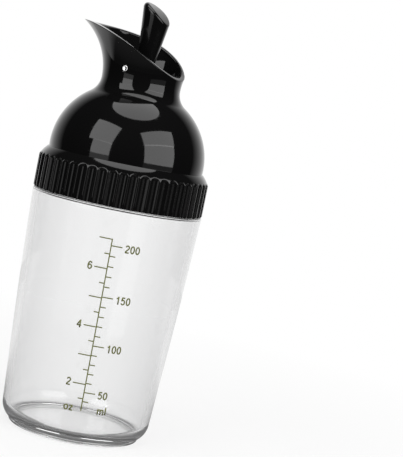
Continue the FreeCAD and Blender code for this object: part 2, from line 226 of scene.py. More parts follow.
# Finishes: two tones that a surface drifts between, and how uneven and how scratched it is
CLEAR_TONES = (0.97, 0.972, 0.972), (0.985, 0.985, 0.985)
CLEAR_SLANT_TONE = (0.86, 0.86, 0.862)
CLEAR_DEPTH_TONE = (0.79, 0.79, 0.795)
CLEAR_DENSITY = 55.0
BLACK_TONES = (0.0035, 0.0035, 0.0037), (0.0062, 0.0060, 0.0060)
SILICONE_TONES = (0.74, 0.74, 0.71), (0.82, 0.82, 0.80)
STEEL_TONES = (0.66, 0.66, 0.67), (0.80, 0.80, 0.80)
INK_TONES = (0.165, 0.178, 0.045), (0.225, 0.238, 0.070)
GRAIN_SHARE = 0.3
GRAIN_RELIEF = 0.08
DRIFT_RANGE = (0.35, 0.65)
MARK_TURNS = (0.3, 0.5, 0.2), (1.1, -0.4, 0.9)
MARK_STRETCH = 14
MARK_RANGE = (0.66, 0.72)

# Light inside the clear wall: how often it is thrown back before it is caught, and how bright it then is
CAUGHT_TURNS = 2.5
CAUGHT_DEPTH = 9.5
CAUGHT_LEVEL = 0.15


# Modelling helpers

def deselect():
    bpy.ops.object.select_all(action="DESELECT")


def activate(piece):
    deselect()
    piece.select_set(True)
    bpy.context.view_layer.objects.active = piece


def name_active(name):
    piece = bpy.context.object
    piece.name = name
    piece.data.name = name
    return piece


def add_object(name, data):
    piece = bpy.data.objects.new(name, data)
    bpy.context.scene.collection.objects.link(piece)
    return piece


def start_edit():
    """Go into edit mode with all of the active piece selected."""
    bpy.ops.object.mode_set(mode="EDIT")
    bpy.ops.mesh.select_all(action="SELECT")


def end_edit():
    bpy.ops.object.mode_set(mode="OBJECT")


def apply_place():
    bpy.ops.object.transform_apply(location=True, rotation=True, scale=True)


def use_modifier(piece, kind, **values):
    """Add one modifier to a piece and apply it."""
    activate(piece)
    modifier = piece.modifiers.new(kind.title(), kind)
    for key, value in values.items():
        setattr(modifier, key, value)
    bpy.ops.object.modifier_apply(modifier=modifier.name)


def combine(piece, tool, operation):
    """Unite a piece with a tool shape, or cut the tool out of it, and drop the tool."""
    use_modifier(piece, "BOOLEAN", object=tool, operation=operation, solver="EXACT")
    bpy.data.objects.remove(tool)


def soften(piece, width, segments=3, angle=40):
    """Round the sharp edges as a mould does."""
    use_modifier(piece, "BEVEL", width=width, segments=segments, limit_method="ANGLE",
                 angle_limit=math.radians(angle), harden_normals=False)


def shade(piece, angle=35):
    activate(piece)
    bpy.ops.object.shade_smooth_by_angle(angle=math.radians(angle))


def close_mesh(piece):
    """Merge doubled points and turn all faces outwards."""
    activate(piece)
    start_edit()
    bpy.ops.mesh.remove_doubles(threshold=MERGE_DISTANCE)
    bpy.ops.mesh.normals_make_consistent(inside=False)
    end_edit()


def arc_centre(start, end, radius, turn):
    """Centre of the short arc between two points, which bends LEFT or RIGHT on the way."""
    chord = end - start
    reach = math.sqrt(radius ** 2 - (chord.length / 2) ** 2)
    return (start + end) / 2 + Vector((-chord.y, chord.x)).normalized() * (turn * reach)


def bend(start, end, radius, turn, steps):
    """Points after start on the short arc to end, which bends LEFT or RIGHT on the way."""
    start, end = Vector(start), Vector(end)
    centre = arc_centre(start, end, radius, turn)
    arm = start - centre
    sweep = 2 * math.asin((end - start).length / 2 / radius) * turn
    points = []
    for step in range(1, steps + 1):
        c, s = math.cos(sweep * step / steps), math.sin(sweep * step / steps)
        points.append((centre.x + arm.x * c - arm.y * s, centre.y + arm.x * s + arm.y * c))
    return points


def along(start, end, steps):
    """Points after start on the straight line to end."""
    return [tuple(Vector(start).lerp(Vector(end), step / steps)) for step in range(1, steps + 1)]


def bow_radius(low, high, bow):
    """Radius of an arc that bows out from the chord between two points."""
    return (Vector(high) - Vector(low)).length_squared / (8 * bow) + bow / 2


def draw_outline(name, outline, closed):
    """Draw an outline of (radius, height) points by extruding one vertex from point to point."""
    deselect()
    bpy.ops.mesh.primitive_plane_add(size=LID_WALL)
    piece = name_active(name)
    points = [Vector((radius, 0, height)) for radius, height in outline]
    start_edit()
    bpy.ops.mesh.merge(type="CENTER")
    bpy.ops.transform.translate(value=points[0])
    for here, there in zip(points, points[1:]):
        bpy.ops.mesh.extrude_region_move(TRANSFORM_OT_translate={"value": there - here})
    if closed:
        end_edit()
        for index, vertex in enumerate(piece.data.vertices):
            vertex.select = index in (0, len(points) - 1)
        bpy.ops.object.mode_set(mode="EDIT")
        bpy.ops.mesh.edge_face_add()
    end_edit()
    return piece


def lathe(name, outline, closed, steps):
    """Spin an outline once round the bottle's axis."""
    piece = draw_outline(name, outline, closed)
    start_edit()
    bpy.ops.mesh.spin(steps=steps, angle=math.tau, center=(0, 0, 0), axis=(0, 0, 1))
    end_edit()
    close_mesh(piece)
    return piece


def wind_ridge(name, wall, sink, crest, middle, turns):
    """A thread ridge that climbs right-handed from the given height of its middle."""
    base, flat = THREAD_BASE / 2, THREAD_CREST / 2
    outline = [(sink, middle - base), (wall, middle - base), (crest, middle - flat), (crest, middle + flat),
               (wall, middle + base), (sink, middle + base)]
    piece = draw_outline(name, outline, closed=True)
    steps = int(STEPS_PER_TURN * turns)
    use_modifier(piece, "SCREW", angle=math.tau * turns, screw_offset=THREAD_PITCH * turns, axis="Z",
                 steps=steps, render_steps=steps, use_merge_vertices=False)
    start_edit()
    bpy.ops.mesh.fill_holes(sides=len(outline))
    end_edit()
    close_mesh(piece)
    return piece


def rod(name, radius, start, end, edge=0, sides=48):
    """A round bar from start to end, with its two end edges rounded when an edge width is given."""
    start, end = Vector(start), Vector(end)
    run = end - start
    turn = run.to_track_quat("Z", "Y").to_euler()
    deselect()
    bpy.ops.mesh.primitive_cylinder_add(vertices=sides, radius=radius, depth=run.length,
                                        location=(start + end) / 2, rotation=turn)
    piece = name_active(name)
    apply_place()
    if edge:
        soften(piece, edge, segments=4, angle=60)
    return piece


def fit(piece, body, nodes, material):
    """Give a finished piece its body, the nodes that it stands for and its finish."""
    piece.data.materials.clear()
    piece.data.materials.append(material)
    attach(piece, body)
    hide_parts(*nodes)


# Materials

def new_material(name):
    material = bpy.data.materials.new(name)
    material.use_nodes = True
    tree = material.node_tree
    place = tree.nodes.new("ShaderNodeTexCoord").outputs["Object"]
    return material, tree, tree.nodes["Principled BSDF"], place


def feed(tree, value, socket):
    """Link a node's output to a socket, or set a plain value on it."""
    if isinstance(value, bpy.types.NodeSocket):
        tree.links.new(value, socket)
    else:
        socket.default_value = value


def place_group(tree, group, **values):
    node = tree.nodes.new("ShaderNodeGroup")
    node.node_tree = group
    for key, value in values.items():
        feed(tree, value, node.inputs[key.replace("_", " ").capitalize()])
    return node


def start_group(name, inputs, outputs):
    group = bpy.data.node_groups.new(name, "ShaderNodeTree")
    for label, kind in inputs:
        group.interface.new_socket(label, in_out="INPUT", socket_type=kind)
    for label, kind in outputs:
        group.interface.new_socket(label, in_out="OUTPUT", socket_type=kind)
    given, made = group.nodes.new("NodeGroupInput"), group.nodes.new("NodeGroupOutput")
    return group, given.outputs, made.inputs


def add_noise(tree, place, scale, detail=3.0):
    noise = tree.nodes.new("ShaderNodeTexNoise")
    noise.inputs["Detail"].default_value = detail
    tree.links.new(place, noise.inputs["Vector"])
    feed(tree, scale, noise.inputs["Scale"])
    return noise.outputs["Fac"]


def add_math(tree, operation, *values):
    node = tree.nodes.new("ShaderNodeMath")
    node.operation = operation
    for socket, value in zip(node.inputs, values):
        feed(tree, value, socket)
    return node.outputs[0]


def add_range(tree, value, low, high, to_low, to_high):
    node = tree.nodes.new("ShaderNodeMapRange")
    tree.links.new(value, node.inputs["Value"])
    for key, limit in (("From Min", low), ("From Max", high), ("To Min", to_low), ("To Max", to_high)):
        feed(tree, limit, node.inputs[key])
    return node.outputs["Result"]


def add_mix(tree, factor, first, second):
    node = tree.nodes.new("ShaderNodeMix")
    node.data_type = "RGBA"
    tree.links.new(factor, node.inputs["Factor"])
    for key, colour in (("A", first), ("B", second)):
        feed(tree, (*colour, 1) if isinstance(colour, tuple) else colour, node.inputs[key])
    return node.outputs["Result"]


def add_vector_math(tree, operation, value, other=(0, 0, 0)):
    node = tree.nodes.new("ShaderNodeVectorMath")
    node.operation = operation
    tree.links.new(value, node.inputs[0])
    node.inputs[1].default_value = other
    return node.outputs["Value"]


def add_bump(tree, shader, height, strength, distance):
    bump = tree.nodes.new("ShaderNodeBump")
    bump.inputs["Strength"].default_value = strength
    bump.inputs["Distance"].default_value = distance
    tree.links.new(height, bump.inputs["Height"])
    tree.links.new(bump.outputs["Normal"], shader.inputs["Normal"])


def add_caught_light(tree):
    """1 for light that has been thrown back often inside the clear wall, and 0 for all other light."""
    ray = tree.nodes.new("ShaderNodeLightPath").outputs
    often = add_math(tree, "GREATER_THAN", ray["Glossy Depth"], CAUGHT_TURNS)
    deep = add_math(tree, "GREATER_THAN", ray["Ray Depth"], CAUGHT_DEPTH)
    return add_math(tree, "MAXIMUM", often, deep)


def build_moulded_skin():
    """Faint unevenness of a moulded face: how the gloss drifts and how the surface waves."""
    tree, given, made = start_group(
        "moulded_skin",
        [("Place", "NodeSocketVector"), ("Wave scale", "NodeSocketFloat"), ("Grain scale", "NodeSocketFloat"),
         ("Smooth", "NodeSocketFloat"), ("Dull", "NodeSocketFloat")],
        [("Roughness", "NodeSocketFloat"), ("Drift", "NodeSocketFloat"), ("Height", "NodeSocketFloat")])
    wave = add_noise(tree, given["Place"], given["Wave scale"], detail=2.0)
    grain = add_noise(tree, given["Place"], given["Grain scale"], detail=4.0)
    broad = add_math(tree, "MULTIPLY", wave, 1 - GRAIN_SHARE)
    drift = add_math(tree, "MULTIPLY_ADD", grain, GRAIN_SHARE, broad)
    tree.links.new(add_range(tree, drift, *DRIFT_RANGE, given["Smooth"], given["Dull"]), made["Roughness"])
    tree.links.new(drift, made["Drift"])
    tree.links.new(add_math(tree, "MULTIPLY_ADD", grain, GRAIN_RELIEF, wave), made["Height"])
    return tree


def build_handling_marks():
    """Sparse hairlines from washing and wiping, as a mask."""
    tree, given, made = start_group(
        "handling_marks",
        [("Place", "NodeSocketVector"), ("Scale", "NodeSocketFloat"), ("Amount", "NodeSocketFloat")],
        [("Mask", "NodeSocketFloat")])
    masks = []
    for turn in MARK_TURNS:
        mapping = tree.nodes.new("ShaderNodeMapping")
        mapping.inputs["Rotation"].default_value = turn
        mapping.inputs["Scale"].default_value = (1, MARK_STRETCH, MARK_STRETCH)
        tree.links.new(given["Place"], mapping.inputs["Vector"])
        streak = add_noise(tree, mapping.outputs["Vector"], given["Scale"], detail=2.0)
        masks.append(add_range(tree, streak, *MARK_RANGE, 0.0, 1.0))
    both = add_math(tree, "MAXIMUM", *masks)
    tree.links.new(add_math(tree, "MULTIPLY", both, given["Amount"]), made["Mask"])
    return tree


moulded_skin = build_moulded_skin()
handling_marks = build_handling_marks()


def dress(tree, shader, tone, skin, strength, distance, marks=None):
    """Give a surface its colour, and the gloss and relief of its skin and of the marks on it."""
    tree.links.new(tone, shader.inputs["Base Color"])
    rough = skin.outputs["Roughness"]
    if marks:
        rough = add_math(tree, "ADD", rough, marks.outputs["Mask"])
    tree.links.new(rough, shader.inputs["Roughness"])
    add_bump(tree, shader, skin.outputs["Height"], strength, distance)


def build_clear_plastic():
    material, tree, shader, place = new_material("clear_plastic")
    skin = place_group(tree, moulded_skin, place=place, wave_scale=55.0, grain_scale=900.0,
                       smooth=0.0, dull=0.02)
    marks = place_group(tree, handling_marks, place=place, scale=60.0, amount=0.05)
    slant = tree.nodes.new("ShaderNodeLayerWeight").outputs["Facing"]
    square = add_math(tree, "POWER", add_math(tree, "SUBTRACT", 1.0, slant), 2.0)
    middle = add_mix(tree, skin.outputs["Drift"], *CLEAR_TONES)
    tint = add_mix(tree, square, CLEAR_SLANT_TONE, middle)
    dress(tree, shader, tint, skin, strength=0.05, distance=0.0002, marks=marks)
    shader.inputs["Transmission Weight"].default_value = 1.0
    shader.inputs["IOR"].default_value = 1.52
    # Light that has been caught in the wall leaves it straight on, as it does from slightly hazy plastic.
    caught = add_caught_light(tree)
    tree.links.new(add_math(tree, "SUBTRACT", 1.0, caught), shader.inputs["Alpha"])
    absorb = tree.nodes.new("ShaderNodeVolumeAbsorption")
    absorb.inputs["Color"].default_value = (*CLEAR_DEPTH_TONE, 1)
    absorb.inputs["Density"].default_value = CLEAR_DENSITY
    tree.links.new(absorb.outputs["Volume"], tree.nodes["Material Output"].inputs["Volume"])
    return material


def build_black_plastic(name, smooth, dull):
    material, tree, shader, place = new_material(name)
    skin = place_group(tree, moulded_skin, place=place, wave_scale=70.0, grain_scale=1400.0,
                       smooth=smooth, dull=dull)
    marks = place_group(tree, handling_marks, place=place, scale=90.0, amount=0.06)
    tone = add_mix(tree, skin.outputs["Drift"], *BLACK_TONES)
    dress(tree, shader, tone, skin, strength=0.04, distance=0.0002, marks=marks)
    shader.inputs["IOR"].default_value = 1.5
    return material


def build_silicone():
    material, tree, shader, place = new_material("silicone")
    skin = place_group(tree, moulded_skin, place=place, wave_scale=120.0, grain_scale=2500.0,
                       smooth=0.38, dull=0.52)
    tone = add_mix(tree, skin.outputs["Drift"], *SILICONE_TONES)
    dress(tree, shader, tone, skin, strength=0.15, distance=0.0001)
    shader.inputs["Subsurface Weight"].default_value = 0.35
    shader.inputs["Subsurface Radius"].default_value = (0.002, 0.002, 0.0018)
    return material


def build_pin_steel():
    material, tree, shader, place = new_material("pin_steel")
    skin = place_group(tree, moulded_skin, place=place, wave_scale=300.0, grain_scale=6000.0,
                       smooth=0.06, dull=0.14)
    marks = place_group(tree, handling_marks, place=place, scale=400.0, amount=0.08)
    tone = add_mix(tree, skin.outputs["Drift"], *STEEL_TONES)
    dress(tree, shader, tone, skin, strength=0.05, distance=0.00005, marks=marks)
    shader.inputs["Metallic"].default_value = 1.0
    return material


def build_scale_ink():
    material, tree, shader, place = new_material("scale_ink")
    skin = place_group(tree, moulded_skin, place=place, wave_scale=400.0, grain_scale=5000.0,
                       smooth=0.42, dull=0.6)
    tone = add_mix(tree, skin.outputs["Drift"], *INK_TONES)
    dress(tree, shader, tone, skin, strength=0.1, distance=0.00003)
    return material


clear_plastic = build_clear_plastic()
lid_black = build_black_plastic("lid_black", smooth=0.035, dull=0.07)
collar_black = build_black_plastic("collar_black", smooth=0.05, dull=0.1)
lever_black = build_black_plastic("lever_black", smooth=0.08, dull=0.16)
silicone = build_silicone()
pin_steel = build_pin_steel()
scale_ink = build_scale_ink()


# Bottle

wall_low = (HEEL_WALL_RADIUS, HEEL_HEIGHT)
wall_high = (SHOULDER_RADIUS, SHOULDER_Z - SHOULDER_ROUND)


def wall_radius(height):
    """Outer radius of the barrelled wall at a height."""
    radius = bow_radius(wall_low, wall_high, WALL_BOW)
    centre = arc_centre(Vector(wall_low), Vector(wall_high), radius, LEFT)
    return centre.x + math.sqrt(radius ** 2 - (height - centre.y) ** 2)


def make_bottle():
    foot_inner = FOOT_RADIUS - FOOT_RING_WIDTH
    heel_start = (FOOT_RADIUS + HEEL_STEP, FOOT_HEIGHT)
    ceiling = SHOULDER_Z - SHOULDER_WALL
    inner_low = (HEEL_WALL_RADIUS - BOTTLE_WALL, INNER_FLOOR_Z + INNER_FLOOR_ROUND)
    inner_high = (SHOULDER_RADIUS - BOTTLE_WALL, ceiling - SHOULDER_INNER_ROUND)
    outline = [(0, FOOT_RECESS), (foot_inner, FOOT_RECESS), (foot_inner, 0), (FOOT_RADIUS, 0),
               (FOOT_RADIUS, FOOT_HEIGHT), heel_start]
    outline += bend(heel_start, wall_low, HEEL_ROUND, LEFT, ROUND_STEPS)
    outline += bend(wall_low, wall_high, bow_radius(wall_low, wall_high, WALL_BOW), LEFT, SWEEP_STEPS)
    shoulder_edge = (SHOULDER_RADIUS - SHOULDER_ROUND, SHOULDER_Z)
    outline += bend(wall_high, shoulder_edge, SHOULDER_ROUND, LEFT, SHOULDER_STEPS)
    outline += [(NECK_RADIUS, SHOULDER_Z), (NECK_RADIUS, RIM_Z), (NECK_BORE, RIM_Z), (NECK_BORE, ceiling)]
    inner_shoulder = (inner_high[0] - SHOULDER_INNER_ROUND, ceiling)
    outline += [inner_shoulder]
    outline += bend(inner_shoulder, inner_high, SHOULDER_INNER_ROUND, RIGHT, SHOULDER_INNER_STEPS)
    outline += bend(inner_high, inner_low, bow_radius(inner_low, inner_high, WALL_BOW), RIGHT, SWEEP_STEPS)
    floor_edge = (inner_low[0] - INNER_FLOOR_ROUND, INNER_FLOOR_Z)
    outline += bend(inner_low, floor_edge, INNER_FLOOR_ROUND, RIGHT, ROUND_STEPS) + [(0, INNER_FLOOR_Z)]
    piece = lathe("clear_bottle", outline, closed=False, steps=BOTTLE_STEPS)
    soften(piece, BOTTLE_EDGE)
    ridge = wind_ridge("neck_ridge", NECK_RADIUS, NECK_RADIUS - THREAD_SINK, NECK_RADIUS + THREAD_DEPTH,
                       SHOULDER_Z + THREAD_START, NECK_TURNS)
    combine(piece, ridge, "UNION")
    shade(piece)
    use_modifier(piece, "WEIGHTED_NORMAL", keep_sharp=True)
    fit(piece, "vessel", ["bottle"], clear_plastic)


# Printed scale

def ml_height(volume):
    above = volume - ML_LONG
    return ML_FIRST_Z + ML_STEP * above + ML_GROWTH * above ** 2


def oz_height(halves):
    return OZ_FIRST_Z + OZ_STEP * (halves / 2 - OZ_FIRST)


def print_bar(low, high):
    """A flat ink bar between two corners of the unrolled scale, cut so that it can follow the wall."""
    size = Vector((high[0] - low[0], high[1] - low[1], INK_PROUD + INK_SUNK))
    middle = ((low[0] + high[0]) / 2, (low[1] + high[1]) / 2, (INK_PROUD - INK_SUNK) / 2)
    deselect()
    bpy.ops.mesh.primitive_cube_add(size=1, location=middle, scale=size)
    apply_place()
    start_edit()
    bpy.ops.mesh.subdivide(number_cuts=UPRIGHT_CUTS if size.x < size.y else LEVEL_CUTS)
    end_edit()
    return bpy.context.object


def oval(x, y, width, height, start=0, end=360):
    """Points on an oval round a middle, from one angle to another."""
    steps = max(OVAL_STEPS_LEAST, abs(end - start) // OVAL_TURN)
    turns = [math.radians(start + (end - start) * step / steps) for step in range(steps + 1)]
    return [(x + width / 2 * math.cos(turn), y + height / 2 * math.sin(turn)) for turn in turns]


# Each sign is its width and the middle lines of its strokes, for letters that are 1 high. A stroke ends at
# each sharp corner, where a bent bar would be pinched.
SIGNS = {
    "0": (0.56, [oval(0.28, 0.5, 0.43, 0.86)]),
    "1": (0.56, [[(0.11, 0.72), (0.24, 0.80), (0.33, 0.93)], [(0.33, 1.0), (0.33, 0.0)]]),
    "2": (0.56, [oval(0.28, 0.69, 0.40, 0.48, 170, -25) + [(0.10, 0.18), (0.06, 0.07)],
                 [(0.02, 0.07), (0.52, 0.07)]]),
    "4": (0.56, [[(0.40, 0.0), (0.40, 1.0)], [(0.38, 0.92), (0.04, 0.29)], [(0.0, 0.29), (0.55, 0.29)]]),
    "5": (0.56, [[(0.50, 0.92), (0.12, 0.92)], [(0.16, 0.95), (0.11, 0.48)],
                 oval(0.26, 0.35, 0.44, 0.56, 132, -150)]),
    "6": (0.56, [oval(0.28, 0.33, 0.43, 0.53, 170, 530), oval(0.30, 0.52, 0.48, 0.82, 40, 205)]),
    "l": (0.22, [[(0.11, 0.0), (0.11, 1.0)]]),
    "m": (0.86, [[(0.08, 0.0), (0.08, 0.72)],
                 [(0.08, 0.5)] + oval(0.25, 0.50, 0.34, 0.32, 150, 0) + [(0.42, 0.0)],
                 [(0.42, 0.5)] + oval(0.60, 0.50, 0.34, 0.32, 150, 0) + [(0.77, 0.0)]]),
    "o": (0.56, [oval(0.28, 0.36, 0.44, 0.60)]),
    "z": (0.50, [[(0.04, 0.65), (0.45, 0.65)], [(0.43, 0.65), (0.06, 0.07)], [(0.04, 0.07), (0.47, 0.07)]]),
}


def print_label(words, x, height, side):
    """Ink letters on the unrolled scale, with one side of them at a point. Each stroke is a flattened bar."""
    run = sum(SIGNS[sign][0] for sign in words) + LABEL_GAP * (len(words) - 1)
    place = 0.0 if side == "LEFT" else -run
    data = bpy.data.curves.new("label", "CURVE")
    data.dimensions = "3D"
    data.bevel_depth = LABEL_STROKE / 2
    data.bevel_resolution = 1
    data.use_fill_caps = True
    for sign in words:
        width, strokes = SIGNS[sign]
        for stroke in strokes:
            closed = math.dist(stroke[0], stroke[-1]) < STROKE_CLOSED
            points = stroke[:-1] if closed else stroke
            spline = data.splines.new("POLY")
            spline.points.add(len(points) - 1)
            for point, (across, up) in zip(spline.points, points):
                point.co = ((place + across) * LABEL_HEIGHT, (up - 0.5) * LABEL_HEIGHT, 0, 1)
            spline.use_cyclic_u = closed
        place += width + LABEL_GAP
    activate(add_object("label", data))
    bpy.ops.object.convert(target="MESH")
    letters = bpy.context.object
    letters.scale.z = (INK_PROUD + INK_SUNK) / LABEL_STROKE
    letters.location = (x, height, (INK_PROUD - INK_SUNK) / 2)
    apply_place()
    return letters


def print_marks(spine_high):
    """All bars and labels of the scale, still flat."""
    half = LINE_WIDTH / 2
    marks = [print_bar((-half, SPINE_LOW_Z), (half, spine_high))]
    for volume in ML_MARKS:
        height = ml_height(volume)
        labelled = volume % ML_LONG == 0
        length = ML_LONG_TICK if labelled else ML_SHORT_TICK
        marks.append(print_bar((half, height - half), (length, height + half)))
        if labelled:
            marks.append(print_label(str(volume), ML_LABEL_X, height - ML_LABEL_DROP, "LEFT"))
    for halves in OZ_HALVES:
        height = oz_height(halves)
        length = OZ_SHORT_TICK if halves % 2 else OZ_LONG_TICK
        marks.append(print_bar((-length, height - half), (-half, height + half)))
        if halves % OZ_LABEL_HALVES == 0:
            marks.append(print_label(str(halves // 2), OZ_LABEL_X, height + OZ_LABEL_RISE, "RIGHT"))
    marks.append(print_label("ml", ML_UNIT_X, UNIT_Z, "LEFT"))
    marks.append(print_label("oz", OZ_UNIT_X, UNIT_Z, "RIGHT"))
    return marks


def make_scale():
    """The flat marks as one piece, wrapped round the wall."""
    spine_high = oz_height(OZ_HALVES[-1]) + LINE_WIDTH / 2
    marks = print_marks(spine_high)
    deselect()
    for mark in marks:
        mark.select_set(True)
    bpy.context.view_layer.objects.active = marks[0]
    bpy.ops.object.join()
    piece = name_active("printed_scale")
    middle = (SPINE_LOW_Z + spine_high) / 2
    for vertex in piece.data.vertices:
        across, height, depth = vertex.co
        radius = wall_radius(height) + depth
        angle = SCALE_AZIMUTH + across / wall_radius(height) - SCALE_LEAN_PER_METRE * (height - middle)
        vertex.co = (radius * math.sin(angle), -radius * math.cos(angle), height)
    close_mesh(piece)
    piece.data.materials.clear()
    piece.data.materials.append(scale_ink)
    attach(piece, "vessel")


# Collar

def flute_floor(turn, height):
    """Radius of the nearest flute's floor at an angle and height, or None where the flute doesn't reach."""
    pitch = math.tau / FLUTE_COUNT
    off = (turn + pitch / 2) % pitch - pitch / 2
    axis = COLLAR_RADIUS + FLUTE_ROUND - FLUTE_DEPTH
    top = collar_low.z + COLLAR_SKIRT + FLUTE_RISE - FLUTE_ROUND
    spread = FLUTE_ROUND ** 2 - max(0.0, height - top) ** 2 - (axis * math.sin(off)) ** 2
    if spread <= 0 or height > top + FLUTE_ROUND:
        return None
    return axis * math.cos(off) - math.sqrt(spread)


def soft_least(first, second, softness):
    """The lesser of two radii, with the corner between them rounded."""
    blend = max(softness - abs(first - second), 0.0) / softness
    return min(first, second) - blend ** 2 * softness / 4


def make_collar():
    skirt_top = collar_low.z + COLLAR_SKIRT
    arch_low = skirt_top - FLUTE_ROUND / 2
    arch_high = skirt_top + FLUTE_RISE
    top_edge = (COLLAR_TOP_RADIUS, COLLAR_TOP_Z)
    lip_end = (COLLAR_RADIUS, collar_low.z + COLLAR_LIP)
    lip_start = (COLLAR_RADIUS - COLLAR_LIP, collar_low.z)
    spigot_hole = SPIGOT_RADIUS + SPIGOT_GAP
    outline = [(COLLAR_BORE, collar_low.z), lip_start]
    outline += bend(lip_start, lip_end, COLLAR_LIP, LEFT, COLLAR_LIP_STEPS)
    outline += along(lip_end, (COLLAR_RADIUS, arch_low), SKIRT_STEPS)
    outline += along((COLLAR_RADIUS, arch_low), (COLLAR_RADIUS, skirt_top), ARCH_STEPS)
    outline += bend((COLLAR_RADIUS, skirt_top), top_edge, COLLAR_SHOULDER, LEFT, COLLAR_SHOULDER_STEPS)
    outline += [(spigot_hole, COLLAR_TOP_Z), (spigot_hole, FLANGE_Z), (COLLAR_BORE, FLANGE_Z)]
    piece = lathe("fluted_collar", outline, closed=True, steps=FLUTE_COUNT * FLUTE_STEPS)
    for vertex in piece.data.vertices:
        radius = math.hypot(vertex.co.x, vertex.co.y)
        if radius < COLLAR_BORE + COLLAR_LIP or vertex.co.z > arch_high:
            continue
        floor = flute_floor(math.atan2(vertex.co.y, vertex.co.x), vertex.co.z)
        if floor is not None:
            share = soft_least(radius, floor, RIDGE_SOFTNESS) / radius
            vertex.co.x *= share
            vertex.co.y *= share
    offset = (THREAD_BASE + THREAD_CREST) / 2 + THREAD_PLAY
    ridge = wind_ridge("collar_ridge", COLLAR_BORE, COLLAR_BORE + THREAD_SINK, NECK_RADIUS + THREAD_ROOT_GAP,
                       SHOULDER_Z + THREAD_START + THREAD_PITCH - offset, COLLAR_TURNS)
    combine(piece, ridge, "UNION")
    shade(piece, angle=50)
    fit(piece, "lid", ["screw_collar"], collar_black)


# Dome and spout

trumpet_outer = (LIP_RISE ** 2 + LIP_REACH ** 2) / (2 * LIP_REACH)
trumpet_inner = trumpet_outer + LID_WALL
rim_run = WAIST_RADIUS + LID_WALL + LIP_RADIUS
rim_round = (rim_run ** 2 + RIM_FALL ** 2) / (2 * RIM_FALL)


def trumpet_radius(rise, wall_round):
    """Radius of a trumpet wall at a rise above the waist."""
    return WAIST_RADIUS + trumpet_outer - math.sqrt(wall_round ** 2 - rise ** 2)


def rim_bead(lean, rise):
    """How much the inner wall, which goes straight on from a given lean, stands in from its full flare. It is
    nothing at the lip's tip, which stays thin."""
    straight = trumpet_inner * math.sin(RIM_LEAN)
    over = max(0.0, rise - straight)
    flare = trumpet_radius(straight + over, trumpet_inner) - trumpet_radius(straight, trumpet_inner)
    spread = min(1.0, (lean + 1) / LIP_SPREAD)
    return (flare - over * math.tan(RIM_LEAN)) * spread ** 2 * (3 - 2 * spread)


def wall_reach(lean, rise, wall_round):
    """Radius of the trumpet's outer or inner wall, where lean is -1 at the lip and 1 at the back."""
    bead = rim_bead(lean, rise) if wall_round == trumpet_inner else 0.0
    return trumpet_radius(rise, wall_round) - bead


def rim_rise(lean, wall_round):
    """Rise of the slanted rim on one of the trumpet's walls."""
    rise = LIP_RISE
    for _ in range(SETTLE_ROUNDS):
        run = lean * wall_reach(lean, rise, wall_round) + LIP_RADIUS
        rise = LIP_RISE - rim_round + math.sqrt(rim_round ** 2 - run ** 2)
    return rise


def shape_rim(piece):
    """Lower the trumpet's level rim to the slanted one, and group the points of its two edges."""
    rims = {wall: piece.vertex_groups.new(name=name) for wall, name in
            ((trumpet_outer, "outer_rim"), (trumpet_inner, "inner_rim"))}
    for vertex in piece.data.vertices:
        rise = vertex.co.z - WAIST_Z
        if rise < RISE_LEAST:
            continue
        radius = math.hypot(vertex.co.x, vertex.co.y)
        middle = (trumpet_radius(rise, trumpet_outer) + trumpet_radius(rise, trumpet_inner)) / 2
        wall_round = trumpet_outer if radius > middle else trumpet_inner
        lean, share = vertex.co.x / radius, rise / LIP_RISE
        new_rise = share * rim_rise(lean, wall_round)
        scale = wall_reach(lean, new_rise, wall_round) / radius
        vertex.co = (vertex.co.x * scale, vertex.co.y * scale, WAIST_Z + new_rise)
        if share > RIM_SHARE:
            rims[wall_round].add([vertex.index], 1.0, "REPLACE")


def dome_outline():
    """Round the wall of the lid from the spigot's foot: outside to the level lip, and back down inside."""
    rise = WAIST_Z - DOME_CENTRE_Z
    dome = DOME_RADIUS - DOME_OFFSET
    inner_dome = dome - LID_WALL
    beyond = WAIST_RADIUS - DOME_OFFSET
    hollow = (beyond ** 2 + rise ** 2 - dome ** 2) / (2 * (dome - beyond))

    def touch(wall_round):
        """Where the dome goes over into the hollow below the waist, on one of the wall's two sides."""
        share = wall_round / (dome + hollow)
        return DOME_OFFSET + (beyond + hollow) * share, DOME_CENTRE_Z + rise * share

    seat = (DOME_OFFSET + math.sqrt(dome ** 2 - DOME_RISE ** 2), COLLAR_TOP_Z)
    inner_run = SPIGOT_RADIUS - DOME_OFFSET
    inner_start = (SPIGOT_RADIUS, DOME_CENTRE_Z + math.sqrt(inner_dome ** 2 - inner_run ** 2))
    spigot_inner = SPIGOT_RADIUS - SPIGOT_WALL
    waist, inner_waist = (WAIST_RADIUS, WAIST_Z), (WAIST_RADIUS - LID_WALL, WAIST_Z)
    outer_top = (trumpet_radius(LIP_RISE, trumpet_outer), LIP_Z)
    inner_top = (trumpet_radius(LIP_RISE, trumpet_inner), LIP_Z)
    outline = [(spigot_inner, FLANGE_Z), (SPIGOT_RADIUS, FLANGE_Z), (SPIGOT_RADIUS, COLLAR_TOP_Z), seat]
    outline += bend(seat, touch(dome), dome, LEFT, DOME_ARC_STEPS)
    outline += bend(touch(dome), waist, hollow, RIGHT, HOLLOW_STEPS)
    outline += bend(waist, outer_top, trumpet_outer, RIGHT, SWEEP_STEPS)
    outline += [inner_top] + bend(inner_top, inner_waist, trumpet_inner, LEFT, SWEEP_STEPS)
    outline += bend(inner_waist, touch(inner_dome), hollow + LID_WALL, LEFT, INNER_HOLLOW_STEPS)
    outline += bend(touch(inner_dome), inner_start, inner_dome, RIGHT, SWEEP_STEPS)
    return outline + [(spigot_inner, COLLAR_TOP_Z)]


